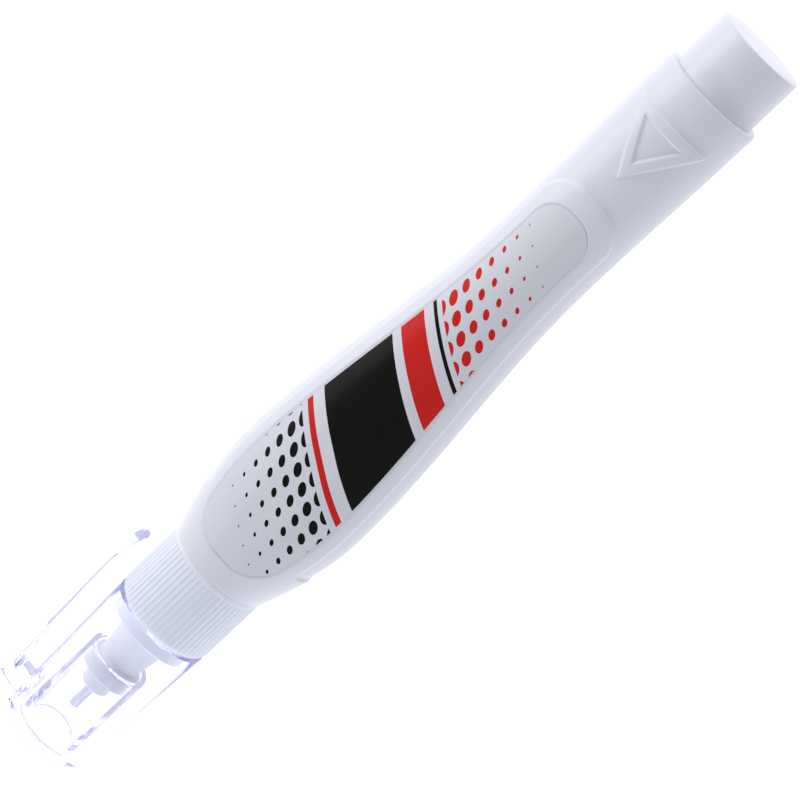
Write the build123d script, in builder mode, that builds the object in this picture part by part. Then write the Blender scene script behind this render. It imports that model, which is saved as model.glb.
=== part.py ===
"""Squeeze-bottle correction pen: an oval bottle with a screwed, spring-valved metal tip and a clear clip cap.

Millimetres. The pen lies along X with its tail end at x = 0 and its writing tip towards +X. Its axis is
the X axis, its label panels face +Z and -Z, and the pocket clip of the cap is on the -Y side.
"""

import os
from math import atan2, cos, pi, sin, sqrt

from build123d import *

# Fits and clearances
PRESS_FIT = 0.02
SLIDE_FIT = 0.05
SKIRT_FIT = 0.08
FACE_GAP = 0.05
COLLAR_GAP = 0.12
THREAD_CLEARANCE = 0.15

# Tail plug and the diameter that the cap pushes over, at the tail and at the front
CAP_SEAT_D = 12.5
TAIL_LENGTH = 8.0
PLUG_DEPTH = 7.0
PLUG_WALL = 1.1
PLUG_STOP = 0.2
TAIL_EDGE = 0.35
PLUG_LEAD = 0.5

# Bottle
BOTTLE_LENGTH = 88.6
BOTTLE_WALL = 1.15
SHOULDER_WALL = 1.4
TUBE_DRAFT = 0.35
WAIST_FROM_REAR = 28.0
NOSE_LENGTH = 15.6
BULB_WIDTH = 20.5
BULB_DEPTH = 15.0
TUBE_STEPS = 4
FLARE_STEPS = 6
NOSE_STEPS = 5
RIM_EDGE = 0.3
NOSE_STEP = 0.05

# Raised panels on the front and back of the bottle, with a sunk bed for the label
PANEL_RISE = 0.3
PANEL_FLATS = 15.2
PANEL_FROM_REAR = 18.4
PANEL_CORNER = 4.4
SIDE_STRIP = 1.25
STRIP_FROM_FRONT = 7.6
STRIP_CORNER = 0.9
LABEL_MARGIN = 1.6
LABEL_REAR_MARGIN = 2.8
LABEL_FRONT_MARGIN = 3.4
LABEL_CORNER = 3.8
CORNER_LIMIT = 0.92
LABEL_BED = 0.16
LABEL_GLUE = 0.04
LABEL_FILM = 0.1
LABEL_EDGE_GAP = 0.05

# Raised triangle on the tube, pointing at the tip
MARK_FROM_REAR = 5.3
MARK_WIDTH = 10.9
MARK_LENGTH = 8.9
MARK_BAND = 1.3
MARK_RISE = 0.3
MARK_CORNER = 0.4

# Threaded neck
NECK_D = 10.2
NECK_BORE_D = 7.8
NECK_LENGTH = 7.6
THREAD_PITCH = 3.0
THREAD_TURNS = 1.4
THREAD_DEPTH = 0.7
THREAD_ROOT = 1.1
THREAD_CREST = 0.7
THREAD_SINK = 0.2

# Screw collar
COLLAR_SIDE_WALL = 1.45
COLLAR_FRONT_WALL = 1.6
COLLAR_SHOULDER = 0.8
COLLAR_LIP = 0.6
RIB_COUNT = 60
RIB_DEPTH = 0.12
RIB_GROOVE = 0.7
SEAT_LENGTH = 2.4
SEAT_EDGE = 0.35

# Nozzle
GASKET_THICKNESS = 0.8
FLANGE_THICKNESS = 1.2
FLANGE_D = 11.4
SHANK_D = 9.0
SHANK_REACH = 0.2
CONE_BASE_D = 7.8
CONE_TOP_D = 6.0
CONE_LENGTH = 6.4
DISC_D = 7.7
DISC_THICKNESS = 2.3
DISC_EDGE = 0.3
BOSS_D = 4.5
BOSS_LENGTH = 2.7
BOSS_EDGE = 0.4
SKIRT_LENGTH = 2.7
SKIRT_WALL = 0.7
VALVE_BORE_D = 4.2
TIP_SHOULDER = 3.6

# Metal tip, needle valve and mixing ball
TIP_D = 1.4
TIP_BORE_D = 0.9
TIP_LENGTH = 4.3
TIP_HEAD_D = 3.0
TIP_HEAD = 0.5
TIP_EDGE = 0.15
NEEDLE_D = 0.8
NEEDLE_REACH = 0.35
STEM_D = 3.4
STEM_FLANGE = 1.0
STEM_GUIDE_D = 1.9
STEM_GUIDE = 2.2
STEM_NOSE_D = 2.6
STEM_NOSE = 3.0
NEEDLE_TAIL = 2.0
CAGE_THICKNESS = 1.2
CAGE_HOLE_D = 1.3
CAGE_HOLE_COUNT = 4
CAGE_HOLE_CIRCLE_D = 3.6
SPRING_WIRE = 0.3
SPRING_TURNS = 4
SPRING_LENGTH = 3.6
SPRING_SEAT_GAP = 0.02
BALL_D = 5.0
BALL_FROM_PLUG = 1.5
BALL_GAP = 0.1

# Clear cap with its sealing tube and clip
CAP_MOUTH_WALL = 1.05
CAP_TIP_WALL = 1.0
CAP_TIP_D = 13.2
CAP_END_WALL = 1.1
CAP_END_EDGE = 0.9
CAP_MOUTH_DEPTH = 0.6
TIP_ROOM = 4.35
SEAL_TUBE_WALL = 0.8
SEAL_TUBE_LAP = 0.4
CLIP_REACH = 10.2
CLIP_SPLAY = 0.5
CLIP_WIDTH = 4.6
CLIP_ROOT = 1.25
CLIP_THIN = 0.8
CLIP_ROOT_LENGTH = 4.0
CLIP_OVERHANG = 5.6
CLIP_HOOK = 1.65
CLIP_HOOK_LENGTH = 5.0
CLIP_EDGE = 0.3

# Places along the pen, from the tail end forwards
bottle_rear = TAIL_LENGTH
plug_end = bottle_rear + PLUG_DEPTH
bottle_front = bottle_rear + BOTTLE_LENGTH
cavity_front = bottle_front - SHOULDER_WALL
waist_x = bottle_rear + WAIST_FROM_REAR
bulb_x = bottle_front - NOSE_LENGTH
mark_rear = bottle_rear + MARK_FROM_REAR
panel_rear = bottle_rear + PANEL_FROM_REAR
strip_front = bottle_front - STRIP_FROM_FRONT
neck_end = bottle_front + NECK_LENGTH
gasket_front = neck_end + GASKET_THICKNESS
flange_front = gasket_front + FLANGE_THICKNESS
collar_rear = bottle_front + COLLAR_GAP
collar_wall_x = flange_front + FACE_GAP
collar_front = collar_wall_x + COLLAR_FRONT_WALL
seat_front = collar_front + SEAT_LENGTH
cone_base = seat_front + SHANK_REACH
cone_top = cone_base + CONE_LENGTH
disc_front = cone_top + DISC_THICKNESS
boss_front = disc_front + BOSS_LENGTH
tip_end = boss_front + TIP_LENGTH
needle_end = tip_end + NEEDLE_REACH
cap_floor = needle_end + TIP_ROOM
cap_end = cap_floor + CAP_END_WALL
cap_rim = collar_front + FACE_GAP

# Radii that follow from the fits
seat_r = CAP_SEAT_D / 2
plug_r = seat_r - PLUG_STOP
plug_bore_r = plug_r + PRESS_FIT
tube_r = plug_bore_r + BOTTLE_WALL
thread_r = NECK_D / 2 + THREAD_DEPTH
collar_bore_r = thread_r + THREAD_CLEARANCE
collar_r = collar_bore_r + COLLAR_SIDE_WALL
nose_r = collar_r + NOSE_STEP
ridge_r = NECK_D / 2 + THREAD_CLEARANCE
cap_bore_r = seat_r + SLIDE_FIT
seal_bore_r = DISC_D / 2 + SLIDE_FIT


def smooth(share):
    """Ease from 0 to 1 with level ends."""
    return share * share * (3 - 2 * share)


def half_oval(x):
    """Half width and half depth of the bottle's lower surface at a place along the pen."""
    waist_r = tube_r - TUBE_DRAFT
    bulb = (BULB_WIDTH / 2, BULB_DEPTH / 2)
    if x <= waist_x:
        r = tube_r - TUBE_DRAFT * smooth((x - bottle_rear) / (waist_x - bottle_rear))
        return r, r
    if x <= bulb_x:
        share = smooth((x - waist_x) / (bulb_x - waist_x))
        return tuple(waist_r + (size - waist_r) * share for size in bulb)
    share = cos(pi / 2 * (x - bulb_x) / (bottle_front - bulb_x))
    low_nose = nose_r - PANEL_RISE
    return tuple(low_nose + (size - low_nose) * share for size in bulb)


def stations(rear, front):
    """Places of the bottle's cross sections between two ends: even steps, one at each change of form."""
    tube = [bottle_rear + (waist_x - bottle_rear) * i / TUBE_STEPS for i in range(TUBE_STEPS)]
    flare = [waist_x + (bulb_x - waist_x) * i / FLARE_STEPS for i in range(FLARE_STEPS + 1)]
    nose = [bulb_x + (bottle_front - bulb_x) * i / NOSE_STEPS for i in range(1, NOSE_STEPS)]
    inside = [x for x in (*tube, *flare, *nose, bottle_front) if rear < x < front]
    return [rear, *inside, front]


def across(x):
    """Plane across the pen at x, with its own x along +Y and its own y along +Z."""
    return Plane(origin=(x, 0, 0), x_dir=(0, 1, 0), z_dir=(1, 0, 0))


def bottle_form(grow, rear, front):
    """The bottle's form between two places, with every cross section grown by the same amount: ovals, flattened
    front and back where the bulb is deepest, so that the labels lie smooth and the pen rests without rolling."""
    depth = PANEL_FLATS + 2 * (grow - PANEL_RISE)
    with BuildPart() as form:
        for x in stations(rear, front):
            half_width, half_depth = half_oval(x)
            with BuildSketch(across(x)):
                Ellipse(half_width + grow, half_depth + grow)
        loft()
        with Locations(((rear + front) / 2, 0, 0)):
            Box(2 * (front - rear), 2 * BULB_WIDTH, depth, mode=Mode.INTERSECT)
    return form.part


def side_line(rear, front, inset):
    """Points of the bottle's outline in plan, moved inwards by an inset."""
    return [(x, half_oval(x)[0] - inset) for x in stations(rear, front)]


def corner(sketch, x, y):
    """The vertex of a sketch nearest to a place."""
    return sketch.vertices().sort_by_distance((x, y, 0))[0]


def panel_prism():
    """Upright prism of the raised panels: narrower than the bottle, and as wide as the nose at the front."""
    nose_y = BULB_WIDTH
    with BuildPart() as prism:
        with BuildSketch(Plane.XY.offset(-BULB_DEPTH)) as plan:
            for side in (1, -1):
                edge = [(x, side * y) for x, y in side_line(panel_rear, strip_front, SIDE_STRIP)]
                with BuildLine():
                    rim = Spline(*edge)
                    Polyline(rim @ 1, (strip_front, side * nose_y), (bottle_front, side * nose_y),
                             (bottle_front, 0), (panel_rear, 0), rim @ 0)
                make_face()
            rear_y = half_oval(panel_rear)[0] - SIDE_STRIP
            strip_y = half_oval(strip_front)[0] - SIDE_STRIP
            rear_corner = min(PANEL_CORNER, CORNER_LIMIT * rear_y)
            fillet([corner(plan, panel_rear, side * rear_y) for side in (1, -1)], rear_corner)
            fillet([corner(plan, strip_front, side * strip_y) for side in (1, -1)], STRIP_CORNER)
        extrude(amount=2 * BULB_DEPTH)
    return prism.part


def label_prism(gap, side):
    """Upright prism of a label's outline on the front (side 1) or the back (side -1) panel."""
    inset = SIDE_STRIP + LABEL_MARGIN + gap
    rear = panel_rear + LABEL_REAR_MARGIN + gap
    front = bottle_front - LABEL_FRONT_MARGIN - gap
    with BuildPart() as prism:
        with BuildSketch(Plane.XY) as plan:
            for flank in (1, -1):
                edge = [(x, flank * y) for x, y in side_line(rear, front, inset)]
                with BuildLine():
                    rim = Spline(*edge)
                    Polyline(rim @ 1, (front, 0), (rear, 0), rim @ 0)
                make_face()
            for end in (rear, front):
                end_y = half_oval(end)[0] - inset
                end_corner = min(LABEL_CORNER, CORNER_LIMIT * end_y)
                fillet([corner(plan, end, flank * end_y) for flank in (1, -1)], end_corner)
        extrude(amount=side * BULB_DEPTH)
    return prism.part


def label_skin(depth, thickness, gap, side):
    """A layer of even thickness that starts some depth under the panel's surface, inside a label's outline."""
    floor = PANEL_RISE - depth
    with BuildPart() as skin:
        add(bottle_form(floor + thickness, panel_rear, bottle_front))
        add(bottle_form(floor, panel_rear - PANEL_CORNER, bottle_front), mode=Mode.SUBTRACT)
        add(label_prism(gap, side), mode=Mode.INTERSECT)
    return skin.part


def mark_frame():
    """Raised frame of a triangle with bars of even width on the top of the tube, its point towards the tip."""
    half_point = atan2(MARK_WIDTH / 2, MARK_LENGTH)
    inner_rear = mark_rear + MARK_BAND
    inner_length = MARK_LENGTH - MARK_BAND * (1 + 1 / sin(half_point))
    inner_width = MARK_WIDTH * inner_length / MARK_LENGTH
    with BuildPart() as frame:
        add(bottle_form(MARK_RISE, bottle_rear, waist_x))
        with BuildSketch(Plane.XY) as outline:
            with BuildLine():
                Polyline((mark_rear, -MARK_WIDTH / 2), (mark_rear, MARK_WIDTH / 2),
                         (mark_rear + MARK_LENGTH, 0), close=True)
            make_face()
            fillet(outline.vertices(), MARK_CORNER)
            with BuildLine():
                Polyline((inner_rear, -inner_width / 2), (inner_rear, inner_width / 2),
                         (inner_rear + inner_length, 0), close=True)
            make_face(mode=Mode.SUBTRACT)
        extrude(amount=BULB_DEPTH, mode=Mode.INTERSECT)
    return frame.part


def thread(root_r, crest_r, start_x):
    """One helical ridge about the pen's axis, from just under its root to its crest."""
    outwards = 1 if crest_r > root_r else -1
    sunk_r = root_r - outwards * THREAD_SINK
    with BuildPart() as ridge:
        with BuildLine() as path:
            Helix(THREAD_PITCH, THREAD_PITCH * THREAD_TURNS, sunk_r, center=(start_x, 0, 0), direction=(1, 0, 0))
        start = path.line @ 0
        radial = Vector(0, start.Y, start.Z).normalized()
        with BuildSketch(Plane(origin=start, x_dir=radial, z_dir=path.line % 0)):
            rise = crest_r - sunk_r
            with BuildLine():
                Polyline((0, -THREAD_ROOT / 2), (rise, -THREAD_CREST / 2),
                         (rise, THREAD_CREST / 2), (0, THREAD_ROOT / 2), close=True)
            make_face()
        sweep(is_frenet=True)
    return ridge.part


def helix_point(turn, radius, pitch, start_x):
    """Point of a helix about the X axis after some turns."""
    angle = 2 * pi * turn
    return Vector(start_x + pitch * turn, radius * cos(angle), radius * sin(angle))


def helix_direction(turn, radius, pitch):
    """Unit direction of that helix."""
    angle = 2 * pi * turn
    return Vector(pitch / (2 * pi), -radius * sin(angle), radius * cos(angle)).normalized()


def coil_path(radius, pitch, turns, start_x):
    """A helix as pairs of tangent arcs, each pair a quarter turn long."""
    for i in range(4 * turns):
        first, last = helix_point(i / 4, radius, pitch, start_x), helix_point((i + 1) / 4, radius, pitch, start_x)
        leave, arrive = helix_direction(i / 4, radius, pitch), helix_direction((i + 1) / 4, radius, pitch)
        chord = last - first
        lean = chord.dot(leave + arrive)
        bend = 2 * (1 - leave.dot(arrive))
        reach = (sqrt(lean * lean + bend * chord.dot(chord)) - lean) / bend
        meet = (first + leave * reach + last - arrive * reach) * 0.5
        between = (last - arrive * reach) - (first + leave * reach)
        TangentArc(first, meet, tangent=leave)
        TangentArc(meet, last, tangent=between.normalized())


# Bottle: oval body with raised panels, sunk label beds, the triangle and the threaded neck
thread_start = bottle_front + (NECK_LENGTH - THREAD_PITCH * THREAD_TURNS) / 2
with BuildPart() as panels:
    add(bottle_form(PANEL_RISE, bottle_rear, bottle_front))
    add(panel_prism(), mode=Mode.INTERSECT)

with BuildPart() as bottle:
    add(bottle_form(0, bottle_rear, bottle_front))
    fillet(bottle.edges().sort_by(Axis.X)[0], RIM_EDGE)
    add(panels.part)
    add(mark_frame())
    for side in (1, -1):
        add(label_skin(LABEL_BED, 2 * LABEL_BED, 0, side), mode=Mode.SUBTRACT)
    with BuildSketch(across(bottle_front - SHOULDER_WALL / 2)):
        Circle(NECK_D / 2)
    extrude(amount=neck_end - bottle_front + SHOULDER_WALL / 2)
    add(thread(NECK_D / 2, thread_r, thread_start))
    add(bottle_form(-BOTTLE_WALL, plug_end, cavity_front), mode=Mode.SUBTRACT)
    with BuildSketch(across(bottle_rear)):
        Circle(plug_bore_r)
    extrude(amount=PLUG_DEPTH, mode=Mode.SUBTRACT)
    with BuildSketch(across(cavity_front - SHOULDER_WALL)):
        Circle(NECK_BORE_D / 2)
    extrude(amount=neck_end - cavity_front + SHOULDER_WALL, mode=Mode.SUBTRACT)

# Tail plug: a cup pressed into the back of the bottle, its closed end takes the cap
with BuildPart() as tail_plug:
    with BuildSketch(Plane.XY) as cup:
        with BuildLine():
            Polyline((0, 0), (0, seat_r), (bottle_rear, seat_r), (bottle_rear, plug_r), (plug_end, plug_r),
                     (plug_end, plug_r - PLUG_WALL), (PLUG_WALL, plug_r - PLUG_WALL), (PLUG_WALL, 0), close=True)
        make_face()
        fillet(corner(cup, 0, seat_r), TAIL_EDGE)
        chamfer(corner(cup, plug_end, plug_r), PLUG_LEAD)
    revolve(axis=Axis.X)

# Labels: thin films that lie in the panels' beds
film_depth = LABEL_BED - LABEL_GLUE
labels = {side: label_skin(film_depth, LABEL_FILM, LABEL_EDGE_GAP, side) for side in (1, -1)}

# Mixing ball: lies on the bottle's lower wall near the plug
ball_x = plug_end + BALL_FROM_PLUG + BALL_D / 2
ball_z = BALL_D / 2 + BALL_GAP - (tube_r - TUBE_DRAFT - BOTTLE_WALL)
with BuildPart() as mixing_ball:
    with Locations((ball_x, 0, ball_z)):
        Sphere(BALL_D / 2)

# Gasket between the neck and the nozzle's flange
with BuildPart() as neck_gasket:
    with BuildSketch(across(neck_end)):
        Circle(NECK_D / 2)
        Circle(NECK_BORE_D / 2, mode=Mode.SUBTRACT)
    extrude(amount=GASKET_THICKNESS)

# Nozzle: skirt in the neck, trapped flange, shank, cone, sealing disc and boss round the metal tip
skirt_rear = neck_end - SKIRT_LENGTH
skirt_r = NECK_BORE_D / 2 - SKIRT_FIT
skirt_bore_r = skirt_r - SKIRT_WALL
valve_rear = gasket_front
tip_seat = boss_front - TIP_SHOULDER
with BuildPart() as nozzle:
    with BuildSketch(Plane.XY) as profile:
        with BuildLine():
            Polyline(
                (skirt_rear, skirt_bore_r),
                (skirt_rear, skirt_r),
                (gasket_front, skirt_r),
                (gasket_front, FLANGE_D / 2),
                (flange_front, FLANGE_D / 2),
                (flange_front, SHANK_D / 2),
                (cone_base, SHANK_D / 2),
                (cone_base, CONE_BASE_D / 2),
                (cone_top, CONE_TOP_D / 2),
                (cone_top, DISC_D / 2),
                (disc_front, DISC_D / 2),
                (disc_front, BOSS_D / 2),
                (boss_front, BOSS_D / 2),
                (boss_front, TIP_D / 2 + PRESS_FIT),
                (tip_seat, TIP_D / 2 + PRESS_FIT),
                (tip_seat, VALVE_BORE_D / 2),
                (valve_rear, VALVE_BORE_D / 2),
                (valve_rear, skirt_bore_r),
                close=True,
            )
        make_face()
        fillet([corner(profile, cone_top, DISC_D / 2), corner(profile, disc_front, DISC_D / 2)], DISC_EDGE)
        fillet(corner(profile, boss_front, BOSS_D / 2), BOSS_EDGE)
    revolve(axis=Axis.X)

# Metal tip: tube with a head that seats inside the boss
with BuildPart() as metal_tip:
    with BuildSketch(Plane.XY) as tube:
        with BuildLine():
            Polyline((tip_seat - TIP_HEAD, TIP_BORE_D / 2), (tip_seat - TIP_HEAD, TIP_HEAD_D / 2),
                     (tip_seat, TIP_HEAD_D / 2), (tip_seat, TIP_D / 2), (tip_end, TIP_D / 2),
                     (tip_end, TIP_BORE_D / 2), close=True)
        make_face()
        fillet(corner(tube, tip_end, TIP_D / 2), TIP_EDGE)
    revolve(axis=Axis.X)

# Valve cage: perforated disc pressed into the skirt, which backs the spring
cage_front = valve_rear
cage_rear = cage_front - CAGE_THICKNESS
with BuildPart() as valve_cage:
    with BuildSketch(across(cage_rear)):
        Circle(skirt_bore_r - PRESS_FIT)
        with PolarLocations(CAGE_HOLE_CIRCLE_D / 2, CAGE_HOLE_COUNT):
            Circle(CAGE_HOLE_D / 2, mode=Mode.SUBTRACT)
    extrude(amount=CAGE_THICKNESS)

# Valve spring: one coil between the cage and the stem's flange
spring_rear = cage_front + SPRING_SEAT_GAP + SPRING_WIRE / 2
spring_pitch = (SPRING_LENGTH - SPRING_WIRE) / SPRING_TURNS
spring_r = (STEM_GUIDE_D + SPRING_WIRE) / 2 + SLIDE_FIT
with BuildPart() as valve_spring:
    with BuildLine() as coil:
        coil_path(spring_r, spring_pitch, SPRING_TURNS, spring_rear)
    with BuildSketch(Plane(origin=coil.line @ 0, z_dir=coil.line % 0)):
        Circle(SPRING_WIRE / 2)
    sweep()

# Valve stem: guide inside the spring, flange in front of it and a nose that holds the needle
stem_rear = spring_rear - SPRING_WIRE / 2 + SPRING_LENGTH + SPRING_SEAT_GAP
stem_front = stem_rear + STEM_FLANGE
stem_end = stem_front + STEM_NOSE
with BuildPart() as valve_stem:
    with BuildSketch(Plane.XY):
        with BuildLine():
            Polyline((stem_rear - STEM_GUIDE, 0), (stem_rear - STEM_GUIDE, STEM_GUIDE_D / 2),
                     (stem_rear, STEM_GUIDE_D / 2), (stem_rear, STEM_D / 2), (stem_front, STEM_D / 2),
                     (stem_front, STEM_NOSE_D / 2), (stem_end, STEM_NOSE_D / 2),
                     (stem_end, NEEDLE_D / 2 + PRESS_FIT), (stem_end - NEEDLE_TAIL, NEEDLE_D / 2 + PRESS_FIT),
                     (stem_end - NEEDLE_TAIL, 0), close=True)
        make_face()
    revolve(axis=Axis.X)

# Valve needle: wire with a domed end that stands just out of the metal tip
with BuildPart() as valve_needle:
    with BuildSketch(across(stem_end - NEEDLE_TAIL)):
        Circle(NEEDLE_D / 2)
    extrude(amount=needle_end - stem_end + NEEDLE_TAIL)
    fillet(valve_needle.edges().sort_by(Axis.X)[-1], NEEDLE_D / 2 - PRESS_FIT)

# Screw collar: ribbed nut on the neck, with the smooth seat that the cap pushes over
ridge_start = thread_start + THREAD_PITCH / 2
rib_arc_r = (RIB_GROOVE**2 / 4 + RIB_DEPTH**2) / (2 * RIB_DEPTH)
rib_pitch_r = collar_r + rib_arc_r - RIB_DEPTH
with BuildPart() as screw_collar:
    with BuildSketch(Plane.XY) as nut:
        with BuildLine():
            Polyline((collar_rear, collar_bore_r), (collar_rear, collar_r), (collar_front, collar_r),
                     (collar_front, seat_r), (seat_front, seat_r), (seat_front, SHANK_D / 2 + SLIDE_FIT),
                     (collar_wall_x, SHANK_D / 2 + SLIDE_FIT), (collar_wall_x, collar_bore_r), close=True)
        make_face()
        fillet(corner(nut, collar_front, collar_r), COLLAR_SHOULDER)
        fillet(corner(nut, seat_front, seat_r), SEAT_EDGE)
    revolve(axis=Axis.X)
    with BuildSketch(across(collar_rear + COLLAR_LIP)):
        with PolarLocations(rib_pitch_r, RIB_COUNT):
            Circle(rib_arc_r)
    extrude(amount=collar_front - collar_rear, mode=Mode.SUBTRACT)
    add(thread(collar_bore_r, ridge_r, ridge_start))

# Clear cap: tapered cup with a sealing tube inside and a pocket clip along one side
clip_end = cap_rim - CLIP_OVERHANG
clip_thin = clip_end + CLIP_HOOK_LENGTH
clip_root = cap_end - CLIP_ROOT_LENGTH
clip_shoulder = cap_end - CAP_END_EDGE
clip_slope = CLIP_SPLAY / (clip_shoulder - clip_end)
mouth_end = seat_front + CAP_MOUTH_DEPTH
seal_rear = cone_top - SEAL_TUBE_LAP
cap_mouth_r = cap_bore_r + CAP_MOUTH_WALL
cap_tip_r = CAP_TIP_D / 2


def clip_outer(x):
    """Side of the clip that faces away from the pen: it stands further off towards its free end."""
    return -CLIP_REACH - clip_slope * (clip_shoulder - x)


with BuildPart() as cap:
    with BuildSketch(Plane.XY) as clip_side:
        with BuildLine():
            Polyline(
                (clip_end, clip_outer(clip_end)),
                (clip_shoulder, clip_outer(clip_shoulder)),
                (cap_end, -cap_tip_r + CAP_END_EDGE),
                (cap_end, -seal_bore_r),
                (clip_root, -seal_bore_r),
                (clip_root, clip_outer(clip_root) + CLIP_ROOT),
                (clip_thin, clip_outer(clip_thin) + CLIP_THIN),
                (clip_end, clip_outer(clip_end) + CLIP_HOOK),
                close=True,
            )
        make_face()
        fillet(corner(clip_side, clip_shoulder, clip_outer(clip_shoulder)), CLIP_ROOT)
    extrude(amount=CLIP_WIDTH / 2, both=True)
    fillet(cap.edges().sort_by(SortBy.LENGTH)[-2:], CLIP_EDGE)
    with BuildSketch(Plane.XY) as cup:
        with BuildLine():
            Polyline((cap_rim, cap_bore_r), (cap_rim, cap_mouth_r), (cap_end, cap_tip_r), (cap_end, 0),
                     (cap_floor, 0), (cap_floor, seal_bore_r), (seal_rear, seal_bore_r),
                     (seal_rear, seal_bore_r + SEAL_TUBE_WALL), (cap_floor, seal_bore_r + SEAL_TUBE_WALL),
                     (cap_floor, cap_tip_r - CAP_TIP_WALL), (mouth_end, cap_bore_r), close=True)
        make_face()
        fillet(corner(cup, cap_end, cap_tip_r), CAP_END_EDGE)
    revolve(axis=Axis.X)
    with BuildSketch(Plane.XY):
        with BuildLine():
            Polyline((cap_rim, 0), (cap_rim, cap_bore_r), (mouth_end, cap_bore_r),
                     (cap_floor, cap_tip_r - CAP_TIP_WALL), (cap_floor, seal_bore_r + SEAL_TUBE_WALL),
                     (seal_rear, seal_bore_r + SEAL_TUBE_WALL), (seal_rear, seal_bore_r),
                     (cap_floor, seal_bore_r), (cap_floor, 0), close=True)
        make_face()
    revolve(axis=Axis.X, mode=Mode.SUBTRACT)

pieces = {
    "bottle": bottle.part,
    "tail_plug": tail_plug.part,
    "front_label": labels[1],
    "back_label": labels[-1],
    "mixing_ball": mixing_ball.part,
    "neck_gasket": neck_gasket.part,
    "nozzle": nozzle.part,
    "metal_tip": metal_tip.part,
    "valve_cage": valve_cage.part,
    "valve_spring": valve_spring.part,
    "valve_stem": valve_stem.part,
    "valve_needle": valve_needle.part,
    "screw_collar": screw_collar.part,
    "cap": cap.part,
}
os.makedirs("parts", exist_ok=True)
for name, piece in pieces.items():
    piece.label = name
    export_step(piece, f"parts/{name}.step")

print("spring: least gap between turns", round(spring_pitch - SPRING_WIRE, 2), "mm")
print("pen length", round(cap_end, 2), "mm, reservoir about",
      round(bottle_form(-BOTTLE_WALL, plug_end, cavity_front).volume / 1000, 1), "ml")
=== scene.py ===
# %% [markdown]
# # A correction pen
# The pen is a white squeeze bottle with a label on each side, a ribbed collar, a metal tip with a spring
# valve, and a clear cap with a pocket clip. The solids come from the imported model, and everything here is
# in the same frame: the pen lies along X with its tail at the origin, and its front label faces +Z. Sizes
# below are written in millimetres, as on a drawing, and become metres when a mesh is made.

import bmesh
import bpy
import numpy as np
from mathutils import Matrix, Vector


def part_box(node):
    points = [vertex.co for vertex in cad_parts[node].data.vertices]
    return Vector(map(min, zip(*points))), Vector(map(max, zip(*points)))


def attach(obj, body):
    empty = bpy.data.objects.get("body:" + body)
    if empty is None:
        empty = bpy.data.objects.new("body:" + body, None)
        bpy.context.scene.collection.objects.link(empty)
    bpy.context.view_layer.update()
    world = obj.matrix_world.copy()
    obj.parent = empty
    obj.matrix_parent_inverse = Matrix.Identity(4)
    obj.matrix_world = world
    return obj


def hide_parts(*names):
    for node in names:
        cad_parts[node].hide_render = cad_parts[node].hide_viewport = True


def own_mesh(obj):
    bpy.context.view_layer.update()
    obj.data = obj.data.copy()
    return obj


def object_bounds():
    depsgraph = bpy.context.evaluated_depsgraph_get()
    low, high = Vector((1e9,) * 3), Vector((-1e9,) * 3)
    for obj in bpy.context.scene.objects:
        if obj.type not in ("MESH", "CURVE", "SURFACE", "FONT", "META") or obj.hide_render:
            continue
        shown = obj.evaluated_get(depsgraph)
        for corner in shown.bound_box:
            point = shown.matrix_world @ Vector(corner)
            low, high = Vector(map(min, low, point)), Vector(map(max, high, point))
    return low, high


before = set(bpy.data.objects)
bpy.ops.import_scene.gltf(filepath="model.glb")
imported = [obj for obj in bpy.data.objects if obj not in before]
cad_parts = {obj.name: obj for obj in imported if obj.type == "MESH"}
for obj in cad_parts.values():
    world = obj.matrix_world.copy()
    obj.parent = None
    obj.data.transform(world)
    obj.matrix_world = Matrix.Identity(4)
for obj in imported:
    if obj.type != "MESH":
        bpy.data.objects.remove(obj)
cad_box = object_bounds()
MM = 0.001
scene = bpy.context.scene
scene.view_settings.view_transform = "Standard"
# Light that is caught in the clear cap needs many bounces before it finds a way out.
GLASS_BOUNCES = 200
scene.cycles.max_bounces = GLASS_BOUNCES
scene.cycles.glossy_bounces = GLASS_BOUNCES
scene.cycles.transmission_bounces = GLASS_BOUNCES
print("CAD box in mm:", [[round(c / MM, 2) for c in corner] for corner in cad_box])

# %% [markdown]
# ## Camera
# The photograph was taken with a long lens from above, a little from the tail's side, so the pen runs
# across the frame from its tail at the top right to its cap at the bottom left. A camera can be aimed with
# constraints, but here its three axes are worked out: the pen's axis, as the camera sees it, has to fall on
# a known line of the picture, and that fixes how the camera is rolled.

# %% Camera
PICTURE_PX = 800
FOCAL_PX = 2850
SENSOR_WIDTH = 36.0
AIM_POINT = Vector((63.6, 0.63, 0.0)) * MM
VIEW_DISTANCE = 361.5 * MM
NEAREST_SEEN = 10 * MM
TOWARDS_CAMERA = Vector((-0.3014, 0.0997, 0.9483)).normalized()
PEN_LINE_RIGHT, PEN_LINE_DOWN = -0.7249, 0.6888

along = (Vector((1, 0, 0)) - TOWARDS_CAMERA * TOWARDS_CAMERA.x).normalized()
beside = TOWARDS_CAMERA.cross(along)
picture_right = along * PEN_LINE_RIGHT + beside * PEN_LINE_DOWN
picture_up = along * -PEN_LINE_DOWN + beside * PEN_LINE_RIGHT

camera = bpy.data.objects.new("camera", bpy.data.cameras.new("camera"))
camera.data.sensor_fit = "HORIZONTAL"
camera.data.sensor_width = SENSOR_WIDTH
camera.data.lens = SENSOR_WIDTH * FOCAL_PX / PICTURE_PX
camera.data.clip_start = NEAREST_SEEN
camera.matrix_world = Matrix.Translation(AIM_POINT + TOWARDS_CAMERA * VIEW_DISTANCE) @ Matrix(
    (picture_right, picture_up, TOWARDS_CAMERA)).transposed().to_4x4()
scene.collection.objects.link(camera)
scene.camera = camera
print("lens", round(camera.data.lens, 1), "mm")

# %% [markdown]
# ## Shader helpers
# A material is a tree of nodes. Writing every link by hand hides the idea, so a short helper adds one node,
# sets its properties, and fills its inputs with numbers or with the outputs of other nodes.

# %% Nodes


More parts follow.
